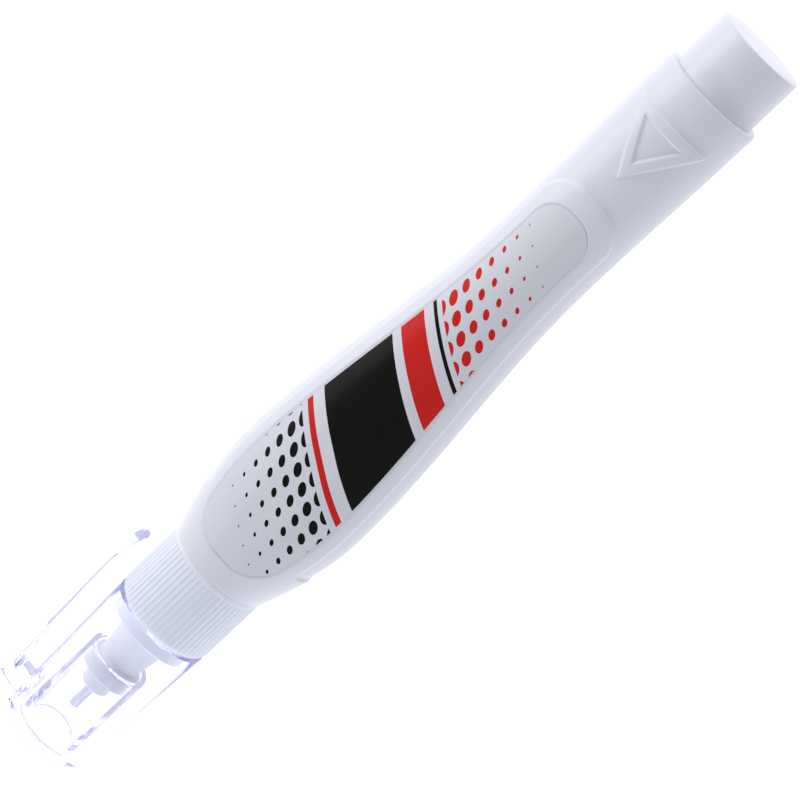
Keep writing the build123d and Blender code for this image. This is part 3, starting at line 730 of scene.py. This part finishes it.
def print_effect():
    """Colour: a ground with red and then black bands and dots over it, placed along s = x - SLANT y in mm.
    Roughness: a base with noise where hands have been. Normal: faint ripples."""
    group, given, result = effect(
        "label_print",
        {"Ground": (COLOUR, (0.8, 0.8, 0.83, 1)), "Red": (COLOUR, (0.7, 0.03, 0.03, 1)),
         "Black": (COLOUR, (0.01, 0.01, 0.01, 1))}, LOOKS)
    place = node(group, "TexCoord").outputs["Object"]
    in_mm = node(group, "VectorMath", place, (1 / MM,) * 3, operation="MULTIPLY").outputs[0]
    x, y, _ = node(group, "SeparateXYZ", in_mm).outputs
    s = maths(group, "MULTIPLY_ADD", y, -SLANT, x)
    red = maths(group, "MAXIMUM", bands(group, s, *RED_BANDS), dots(group, s, y, *RED_DOTS))
    black = maths(group, "MAXIMUM", bands(group, s, *BLACK_BANDS), dots(group, s, y, *BLACK_DOTS))
    ink = blended(group, red, given["Ground"], given["Red"])
    group.links.new(blended(group, black, ink, given["Black"]), result["Base Color"])
    handled = noise(group, place, HANDLED_PER_METRE, detail=4.0)
    roughness = maths(group, "MULTIPLY_ADD", handled, HANDLED_ROUGHNESS, FILM_ROUGHNESS)
    group.links.new(roughness, result["Roughness"])
    ripple = noise(group, place, RIPPLES_PER_METRE, detail=2.0)
    bump = node(group, "Bump", RIPPLE_BUMP, RIPPLE_DEPTH)
    group.links.new(ripple, bump.inputs["Height"])
    group.links.new(bump.outputs[0], result["Normal"])
    return group


label_print = finish_of(
    "label_print", print_effect(),
    {"Ground": (0.745, 0.755, 0.84, 1), "Red": (0.66, 0.022, 0.018, 1), "Black": (0.003, 0.003, 0.0035, 1)},
    IOR=1.5, Specular_IOR_Level=0.08)
print("printed film:", label_print.name)

# %% [markdown]
# ## Labels
# Each label is a film a tenth of a millimetre thick that lies in its bed and follows the bulb. Its grid
# runs along the pen in rows; a row goes across the top of the film and back along its underside. The ends
# close in an edge half-way through the film.

# %% Labels
LABEL_GAP, FILM_LOW, FILM_HIGH = 0.05, 0.18, 0.28
FILM_ROWS, FILM_COLUMNS = 121, 65


def film_grid(side):
    """Grid of a film on the top (side 1) or underside (side -1). Its half width w follows the bottle's side
    and turns round its corners; across it y runs from w to -w, and z is the bottle's oval, grown by the
    film's two heights."""
    middle, reach = (LABEL_FRONT + LABEL_REAR) / 2, (LABEL_FRONT - LABEL_REAR) / 2 - LABEL_GAP
    x = middle - reach * np.cos(np.linspace(0, np.pi, FILM_ROWS))[:, None]
    half_width, half_depth = half_oval(x)
    from_end = reach - abs(x - middle)
    corner = LABEL_CORNER - LABEL_GAP
    turn = corner - np.sqrt(corner**2 - np.maximum(corner - from_end, 0)**2)
    w = half_width - LABEL_INSET - LABEL_GAP - turn
    share = np.linspace(1, -1, FILM_COLUMNS)
    y = w * np.concatenate([share, share[::-1]])
    rise = np.repeat([FILM_HIGH, FILM_LOW], len(share))
    end_rise = 0 * rise + (FILM_LOW + FILM_HIGH) / 2
    rise = np.vstack([end_rise, np.broadcast_to(rise, (len(x), len(rise))), end_rise])
    x, y, half_width, half_depth = (
        np.vstack([part[:1], part, part[-1:]]) for part in (x, y, half_width, half_depth))
    oval = (half_depth + rise) * np.sqrt(1 - (y / (half_width + rise))**2)
    z = side * flattened(oval, FLAT_HALF + rise)
    return np.stack([x + 0 * y, y, z], axis=-1)


for label, side in (("front_label", 1), ("back_label", -1)):
    film = grid_mesh(label, film_grid(side))
    stand_in(label, "bottle", "printed_" + label, film, label_print)

# %% [markdown]
# ## Screw collar
# The collar is a nut: its ribs give a grip, a smooth lip runs round its back edge, and in front a shoulder
# steps down to the seat of the cap. Sixty separate cutters would do it in CAD. In a grid the ribs are a
# shift again: a row of scallops, each an arc of a circle that lies mostly outside the collar.

# %% Screw collar
COLLAR_REAR, COLLAR_WALL_X, COLLAR_FRONT, SEAT_FRONT = 96.63, 106.25, 107.85, 110.25
COLLAR_R, COLLAR_BORE_R, SHANK_BORE_R = 7.4, 5.95, 4.55
LIP_ROWS, RIDGE_SPAN = (97.2, 97.31, 97.43, 97.6), (105.0, 98.5, -0.2)

ridge_x = np.arange(*RIDGE_SPAN)
collar_profile = np.vstack([
    rounded((COLLAR_REAR, COLLAR_BORE_R, 0.1), (COLLAR_REAR, COLLAR_R, 0.03), (COLLAR_FRONT, COLLAR_R, 0.8),
            (COLLAR_FRONT, SEAT_R), (SEAT_FRONT, SEAT_R, 0.35), (SEAT_FRONT, SHANK_BORE_R, 0.1),
            (COLLAR_WALL_X, SHANK_BORE_R), (COLLAR_WALL_X, COLLAR_BORE_R)),
    np.stack([ridge_x, 0 * ridge_x + COLLAR_BORE_R], axis=1)])
# The lip's rows come after the two corners of the collar's rear end.
lip_rows = np.array([[x, COLLAR_R] for x in LIP_ROWS])
collar_profile = np.insert(collar_profile, 2 * ARC_POINTS, lip_rows, axis=0)
print("collar profile:", len(collar_profile), "points")

# %% Ribs and inner ridge
RIB_COUNT, RIB_ARC_R, RIB_DEPTH, RIB_COLUMNS = 60, 0.57, 0.12, 12
LIP_FRONT, LIP_STEP, RIB_REACH, RIB_END, RIB_END_STEP = 97.32, 0.1, 0.6, 0.02, 0.3
RIDGE_START = THREAD_START + THREAD_PITCH / 2

rib_angle = np.linspace(0, 2 * np.pi, RIB_COUNT * RIB_COLUMNS, endpoint=False)
x, r = collar_profile[:, :1], collar_profile[:, 1:]
from_groove = ((rib_angle * RIB_COUNT / (2 * np.pi) + 0.5) % 1 - 0.5) * 2 * np.pi * COLLAR_R / RIB_COUNT
scallop = np.maximum(np.sqrt(np.maximum(RIB_ARC_R**2 - from_groove**2, 0)) - (RIB_ARC_R - RIB_DEPTH), 0)
ribbed = ease((x - LIP_FRONT) / LIP_STEP) * ease((COLLAR_FRONT - RIB_END - x) / RIB_END_STEP)
bored = (r == COLLAR_BORE_R) * (x < COLLAR_WALL_X)
ridge = bored * thread_ridge(x, rib_angle, RIDGE_START)
collar_r = r - scallop * (r > COLLAR_R - RIB_REACH) * ribbed - ridge
collar_grid = np.stack(
    [x + 0 * collar_r, collar_r * np.cos(rib_angle), collar_r * np.sin(rib_angle)], axis=-1)
stand_in("screw_collar", "collar", "ribbed_screw_collar",
         grid_mesh("screw_collar", collar_grid, ring=True), collar_lilac)

# %% [markdown]
# ## Nozzle, tip and needle
# The nozzle is turned too: a skirt in the neck, a flange under the collar, a cone, the disc that seals in
# the cap, and a boss that grips the steel tip. The needle's domed end stands a third of a millimetre out of
# the tip, and pressing it on paper opens the valve.

# %% Nozzle
FLANGE_REAR, FLANGE_FRONT, SKIRT_REAR, SHANK_FRONT = 105.0, 106.2, 101.5, 110.45
DISC_REAR, DISC_FRONT, BOSS_FRONT, HEAD_FRONT = 116.85, 119.15, 121.85, 118.25
SKIRT_R, SKIRT_BORE_R, FLANGE_R, SHANK_R = 3.82, 3.12, 5.7, 4.5
CONE_REAR_R, CONE_FRONT_R, DISC_R, BOSS_R, VALVE_BORE_R, TIP_BORE_R = 3.9, 3.0, 3.85, 2.25, 2.1, 0.72
nozzle_profile = rounded(
    (SKIRT_REAR, SKIRT_BORE_R, 0.1), (SKIRT_REAR, SKIRT_R, 0.15), (FLANGE_REAR, SKIRT_R),
    (FLANGE_REAR, FLANGE_R, 0.1), (FLANGE_FRONT, FLANGE_R, 0.1), (FLANGE_FRONT, SHANK_R),
    (SHANK_FRONT, SHANK_R, 0.15), (SHANK_FRONT, CONE_REAR_R, 0.1), (DISC_REAR, CONE_FRONT_R, 0.25),
    (DISC_REAR, DISC_R, 0.3), (DISC_FRONT, DISC_R, 0.3), (DISC_FRONT, BOSS_R, 0.2),
    (BOSS_FRONT, BOSS_R, 0.4), (BOSS_FRONT, TIP_BORE_R, 0.08), (HEAD_FRONT, TIP_BORE_R),
    (HEAD_FRONT, VALVE_BORE_R), (FLANGE_REAR, VALVE_BORE_R), (FLANGE_REAR, SKIRT_BORE_R))
stand_in("nozzle", "nozzle", "moulded_nozzle",
         grid_mesh("nozzle", turned(nozzle_profile), ring=True), nozzle_white)

# %% Tip and needle
TIP_END, TIP_R, TIP_HOLE_R, HEAD_REAR, HEAD_R = 126.15, 0.7, 0.45, 117.75, 1.5
NEEDLE_END, NEEDLE_REAR, NEEDLE_R, NEEDLE_DOME = 126.5, 110.64, 0.4, 0.38
tip_profile = rounded(
    (HEAD_REAR, TIP_HOLE_R), (HEAD_REAR, HEAD_R, 0.1), (HEAD_FRONT, HEAD_R, 0.05), (HEAD_FRONT, TIP_R),
    (TIP_END, TIP_R, 0.16), (TIP_END, TIP_HOLE_R, 0.05))
stand_in("metal_tip", "nozzle", "drawn_tip",
         grid_mesh("metal_tip", turned(tip_profile, columns=64), ring=True), tip_steel)
needle_profile = rounded(
    (NEEDLE_REAR, 0), (NEEDLE_REAR, NEEDLE_R, 0.05), (NEEDLE_END, NEEDLE_R, NEEDLE_DOME), (NEEDLE_END, 0))
stand_in("valve_needle", "needle", "domed_needle",
         grid_mesh("valve_needle", turned(needle_profile, columns=48)), tip_steel)

# %% [markdown]
# ## Valve spring
# The spring is wire wound four turns round the stem. Its grid carries a small circle along a helix: at each
# place the circle stands across the wire, between the direction away from the axis and the direction at
# right angles to both. When the needle is pressed in, the spring flattens towards its back end.

# %% Valve spring
SPRING_REAR, SPRING_PITCH, SPRING_R, SPRING_TURNS, WIRE_R = 105.17, 0.825, 1.15, 4, 0.15
STEPS_PER_TURN, WIRE_COLUMNS = 48, 12
rise_per_radian = SPRING_PITCH / (2 * np.pi)
coil = np.linspace(0, 2 * np.pi * SPRING_TURNS, SPRING_TURNS * STEPS_PER_TURN + 1)[:, None]
outwards = np.concatenate([0 * coil, np.cos(coil), np.sin(coil)], axis=1)
forwards = unit(np.concatenate(
    [0 * coil + rise_per_radian, -SPRING_R * np.sin(coil), SPRING_R * np.cos(coil)], axis=1))
upright = np.cross(forwards, outwards)
climb = np.concatenate([SPRING_REAR + rise_per_radian * coil, 0 * coil, 0 * coil], axis=1)
line = SPRING_R * outwards + climb
wire_angle = np.linspace(0, 2 * np.pi, WIRE_COLUMNS, endpoint=False)[None, :, None]
circle = np.cos(wire_angle) * outwards[:, None] + np.sin(wire_angle) * upright[:, None]
wire_grid = line[:, None] + WIRE_R * circle
wire_ends = [line[end, None, None] + 0 * wire_grid[:1] for end in (0, -1)]
wire_grid = np.concatenate([wire_ends[0], wire_grid, wire_ends[1]])
valve_spring = stand_in("valve_spring", "nozzle", "wound_spring",
                        grid_mesh("valve_spring", wire_grid), spring_steel)
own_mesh(valve_spring)

# %% [markdown]
# ## Pieces that keep their solids
# The ball, the gasket, the valve's cage and its stem lie inside the pen, and their solids are right as they
# are. They only take their finishes.

# %% Finishes of the inner pieces
INNER_FINISHES = {"mixing_ball": ball_steel, "neck_gasket": gasket_rubber, "valve_cage": valve_natural,
                  "valve_stem": valve_natural}
for name, finish in INNER_FINISHES.items():
    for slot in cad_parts[name].material_slots:
        slot.material = finish
    print(name, "takes", finish.name)

# %% [markdown]
# ## Clear cap
# The cap is a clear cup with a tube inside that seals round the nozzle's disc, and a pocket clip along one
# side. Real walls matter here: light bends at each surface, so a cup with no thickness would look like a
# soap film. The cup is turned and the clip is a bar whose section is a rounded rectangle. The two are
# joined with a Boolean, as they were moulded in one shot.

# %% Cup
CAP_RIM, CAP_FLOOR, CAP_END, SEAL_REAR = 107.9, 130.85, 131.95, 116.45
SEAL_BORE_R, SEAL_R, CUP_FLOOR_R, CUP_BORE_R, CUP_BORE_END = 3.9, 4.7, 5.6, 6.3, 110.85
CAP_RIM_R, CAP_END_R = 7.35, 6.6
cup_profile = rounded(
    (CAP_FLOOR, 0), (CAP_FLOOR, SEAL_BORE_R, 0.2), (SEAL_REAR, SEAL_BORE_R, 0.2), (SEAL_REAR, SEAL_R, 0.2),
    (CAP_FLOOR, SEAL_R, 0.2), (CAP_FLOOR, CUP_FLOOR_R, 0.4), (CUP_BORE_END, CUP_BORE_R),
    (CAP_RIM, CUP_BORE_R, 0.15), (CAP_RIM, CAP_RIM_R, 0.3), (CAP_END, CAP_END_R, 0.9), (CAP_END, 0),
    steps=8)
print("cup profile:", len(cup_profile), "points")

# %% Clip
CLIP_HALF_WIDTH, CLIP_EDGE, CLIP_ROUNDING, CLIP_COLUMNS, NO_THICKNESS = 2.3, 0.62, 0.8, 32, 0.02
CLIP_BACK, CLIP_LEAN, CLIP_ROOT, CLIP_LENGTH = -10.2, -0.5, 131.05, 28.75
# Rows along the clip: x, then how far its outer and inner faces lie inside its back. The hook comes first,
# then the long spring, and last the foot that stands in the cap's end.
clip_rows = np.array([
    (102.3, 0.82, 0.82), (102.3, 0.3, 1.35), (102.42, 0.06, 1.57), (102.6, 0, 1.6), (104.6, 0, 1.26),
    (106.9, 0, 0.87), (107.3, 0, 0.82), (107.7, 0, 0.81), (113.0, 0, 0.92), (120.0, 0, 1.08),
    (126.8, 0, 1.22), (127.5, 0, 1.35), (127.85, 0, 1.7), (127.95, 0, 2.3), (127.95, 0, 4.0),
    (129.0, 0, 4.0), (129.8, 0, 4.0), (130.3, 0.08, 4.0), (130.7, 0.3, 4.0), (131.0, 0.65, 5.0),
    (131.2, 1.1, 5.0), (131.45, 2.1, 5.0), (131.7, 3.3, 5.0), (131.85, 4.0, 5.0), (131.85, 4.5, 4.5)])
clip_rows[:, 1:] += CLIP_BACK + CLIP_LEAN * np.clip((CLIP_ROOT - clip_rows[:, :1]) / CLIP_LENGTH, 0, 1)


def bar_grid(rows):
    """Grid of a bar along X with rows (x, outer y, inner y). Each section is a rectangle with rounded
    corners: a point on it is a corner's centre plus the corner's radius at that angle."""
    x, outer, inner = (rows[:, i:i + 1] for i in range(3))
    half = (inner - outer) / 2
    corner = np.minimum(CLIP_EDGE, half * CLIP_ROUNDING)
    angle = np.linspace(0, 2 * np.pi, CLIP_COLUMNS, endpoint=False) + np.pi / CLIP_COLUMNS
    width = np.where(half < NO_THICKNESS, 0.0, CLIP_HALF_WIDTH - corner)
    z = np.sign(np.cos(angle)) * width + corner * np.cos(angle)
    y = (outer + inner) / 2 + np.sign(np.sin(angle)) * (half - corner) + corner * np.sin(angle)
    return np.stack([x + 0 * y, y, z], axis=-1)


clip_mesh = grid_mesh("pocket_clip", bar_grid(clip_rows))
print("clip:", len(clip_mesh.polygons), "faces")

# %% Clear plastic
CLEAR_TINT, TINT_PER_METRE = (0.70, 0.69, 0.88, 1), 54.0
clear_plastic = finish_of(
    "clear_plastic", moulded_plastic,
    {"Tint": (0.985, 0.988, 1.0, 1), "Shade": (0.965, 0.97, 0.995, 1), "Gloss base": 0.03, "Rubbed": 0.03,
     "Grain": 0.02},
    Transmission_Weight=1.0, IOR=1.49)
tree = clear_plastic.node_tree
tinted_depth = node(tree, "VolumeAbsorption", CLEAR_TINT, TINT_PER_METRE)
tree.links.new(tinted_depth.outputs[0], tree.nodes["Material Output"].inputs["Volume"])
print("clear plastic:", clear_plastic.name)

# %% Cap
cup_mesh = grid_mesh("cap", turned(cup_profile))
cap = stand_in("cap", "cap", "clear_cap", cup_mesh, clear_plastic)
clip = bpy.data.objects.new("pocket_clip", clip_mesh)
scene.collection.objects.link(clip)
join = cap.modifiers.new("clip", "BOOLEAN")
join.operation, join.solver, join.object = "UNION", "EXACT", clip
bpy.context.view_layer.update()
whole = bpy.data.meshes.new_from_object(cap.evaluated_get(bpy.context.evaluated_depsgraph_get()))
cap.modifiers.clear()
cap.data = whole
bpy.data.objects.remove(clip)
whole.shade_smooth()
whole.set_sharp_from_angle(angle=SHARP_ANGLE)
# Clear plastic casts hardly any shadow, but a lamp's light would stop at it as at a wall.
cap.visible_shadow = False
print("cap with clip:", len(whole.polygons), "faces")
